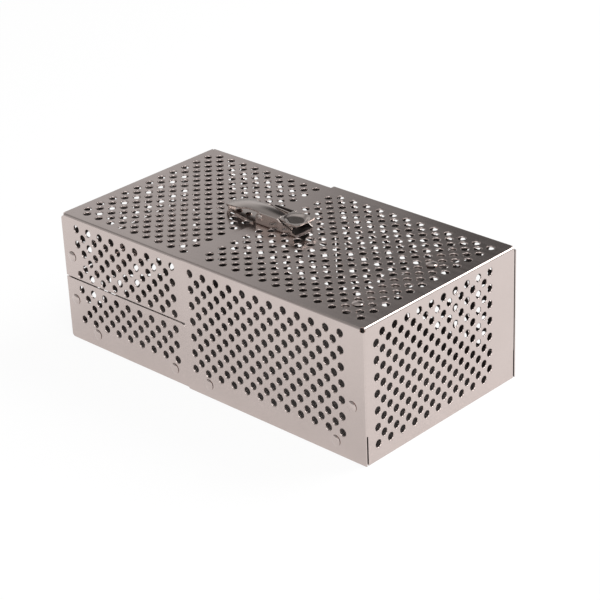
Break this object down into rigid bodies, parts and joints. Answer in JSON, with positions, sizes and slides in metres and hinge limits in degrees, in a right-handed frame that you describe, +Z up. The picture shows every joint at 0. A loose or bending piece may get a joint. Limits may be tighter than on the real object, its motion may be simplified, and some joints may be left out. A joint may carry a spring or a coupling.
{
  "type": "sterilization container",
  "caption": "Perforated stainless steel sterilization container: folded box with a hinged end lid held by a riveted over-centre toggle latch across the seam on its top",
  "frame": {"origin": "middle of the rectangle that the container stands on", "axes": "+X towards the closed right end, +Y to the back (the long front wall faces -Y), +Z up"},
  "size_m": [0.2384, 0.1282, 0.0904],
  "materials": {
    "perforated_sheet": "satin stainless sheet with punched holes",
    "plain_sheet": "satin stainless sheet",
    "rivet_steel": "polished domed rivet heads",
    "hinge_steel": "satin stainless hinge",
    "latch_steel": "polished pressed stainless latch",
    "pin_steel": "polished pins"
  },
  "bodies": {
    "base": {"hood": "perforated_sheet", "lower_front_wall": "perforated_sheet", "lower_back_wall": "perforated_sheet", "lower_end_wall": "perforated_sheet", "bottom_tray": "plain_sheet", "lid_rest_strip": "plain_sheet", "inner_strap": "plain_sheet", "tray_rivets": "rivet_steel", "hood_corner_rivets": "rivet_steel", "lower_corner_rivets": "rivet_steel", "strap_rivets": "rivet_steel", "hinge_lower_rivets": "rivet_steel", "latch_base_rivets": "rivet_steel", "hinge_lower_leaf": "hinge_steel", "latch_base": "latch_steel", "hinge_pin": "pin_steel", "lever_pin": "pin_steel"},
    "lid": {"lid": "perforated_sheet", "lid_corner_rivets": "rivet_steel", "hinge_upper_leaf": "hinge_steel", "hinge_upper_rivets": "rivet_steel", "latch_keeper": "latch_steel", "keeper_rivets": "rivet_steel"},
    "lever": {"latch_lever": "latch_steel", "claw_pin": "pin_steel"},
    "claw": {"latch_claw": "latch_steel"}
  },
  "joints": [
    {"name": "lid_hinge", "type": "hinge", "parent": "base", "child": "lid", "pos_m": [-0.117, 0, 0.04], "axis": [0, -1, 0], "range_deg": [0, 170]},
    {"name": "lever_pivot", "type": "hinge", "parent": "base", "child": "lever", "pos_m": [-0.0098, 0.0032, 0.0857], "axis": [0, -1, 0], "range_deg": [0, 50]},
    {"name": "claw_pivot", "type": "hinge", "parent": "lever", "child": "claw", "pos_m": [-0.0008, 0.0032, 0.0849], "axis": [0, -1, 0], "range_deg": [-100, 0]}
  ],
  "couplings": [
    {"joint": "claw_pivot", "follows": "lever_pivot", "ratio": -2}
  ]
}
